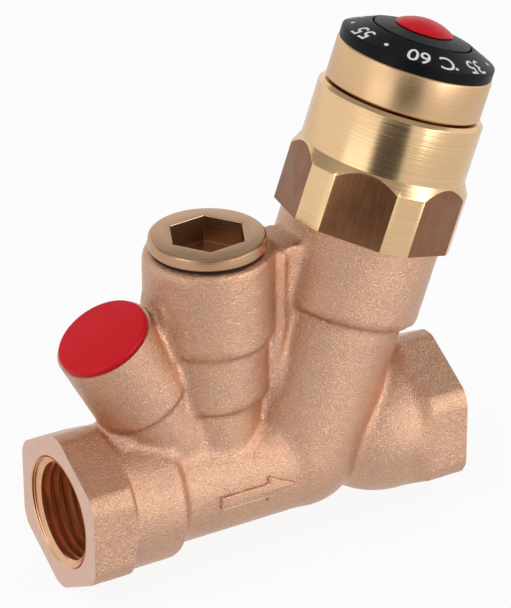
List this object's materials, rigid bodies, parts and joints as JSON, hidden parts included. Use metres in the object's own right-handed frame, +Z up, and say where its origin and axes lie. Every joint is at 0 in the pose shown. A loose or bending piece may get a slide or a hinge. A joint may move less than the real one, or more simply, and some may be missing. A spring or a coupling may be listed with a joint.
{
  "type": "temperature-controlled circulation valve",
  "caption": "Slanted-bonnet circulation valve for hot-water return pipes, with threaded hexagon ends, a setting scale, a service plug and a closed sensor port.",
  "frame": {"origin": "centre of the inlet thread at its mouth, on the axis of the run", "axes": "+X along the run in the direction of flow, +Z up towards the service plug, +Y across"},
  "size_m": [0.0906, 0.034, 0.0965],
  "materials": {
    "gunmetal": "sand-cast red bronze with fine grain",
    "brass": "bright turned brass with fine tool rings",
    "black_plastic": "moulded satin black",
    "red_plastic": "moulded smooth red",
    "seal_rubber": "moulded black rubber",
    "spring_steel": "drawn stainless wire",
    "washer_plastic": "plain white slip washer"
  },
  "bodies": {
    "body": {"valve_body": "gunmetal", "service_plug": "brass", "service_plug_gasket": "seal_rubber", "bypass_spring": "spring_steel", "bonnet": "brass", "bonnet_o_ring": "seal_rubber", "head_ring": "brass", "scale_ring": "black_plastic", "spindle_washer": "washer_plastic", "return_spring": "spring_steel"},
    "spindle": {"setting_spindle": "brass", "spindle_circlip": "spring_steel", "spindle_o_ring_lower": "seal_rubber", "spindle_o_ring_upper": "seal_rubber", "pointer_disc": "black_plastic"},
    "cover": {"cover_plug": "red_plastic"},
    "nut": {"setting_nut": "brass", "cup_circlip": "spring_steel", "overtravel_spring": "spring_steel"},
    "cup": {"spring_cup": "brass", "element_piston": "spring_steel"},
    "regulator": {"wax_element": "brass", "regulating_cone": "brass", "cone_seal": "seal_rubber"},
    "bypass": {"bypass_cone": "brass", "bypass_seal": "seal_rubber"},
    "port_plug": {"port_plug": "red_plastic"}
  },
  "joints": [
    {"name": "setting_turn", "type": "hinge", "parent": "body", "child": "spindle", "pos_m": [0.0494, 0, 0], "axis": [0.342, 0, 0.9397], "range_deg": [-154, 103]},
    {"name": "nut_travel", "type": "slide", "parent": "body", "child": "nut", "axis": [0.342, 0, 0.9397], "range_m": [-0.00064, 0.00043]},
    {"name": "overtravel", "type": "slide", "parent": "nut", "child": "cup", "axis": [0.342, 0, 0.9397], "range_m": [0, 0.0015], "stiffness_N_per_m": 8000, "deforming": ["overtravel_spring"]},
    {"name": "regulate", "type": "slide", "parent": "cup", "child": "regulator", "axis": [-0.342, 0, -0.9397], "range_m": [0, 0.0026], "stiffness_N_per_m": 1000, "springref_m": -0.0003, "deforming": ["return_spring"]},
    {"name": "bypass_lift", "type": "slide", "parent": "body", "child": "bypass", "axis": [0, 0, 1], "range_m": [0, 0.003], "stiffness_N_per_m": 600, "deforming": ["bypass_spring"]},
    {"name": "cover_lift", "type": "slide", "parent": "spindle", "child": "cover", "axis": [0.342, 0, 0.9397], "range_m": [0, 0.012]},
    {"name": "port_plug_pull", "type": "slide", "parent": "body", "child": "port_plug", "axis": [-0.4765, 0, 0.8792], "range_m": [0, 0.02]}
  ],
  "couplings": [
    {"joint": "setting_turn", "follows": "nut_travel", "rad_per_m": 4188.8}
  ]
}
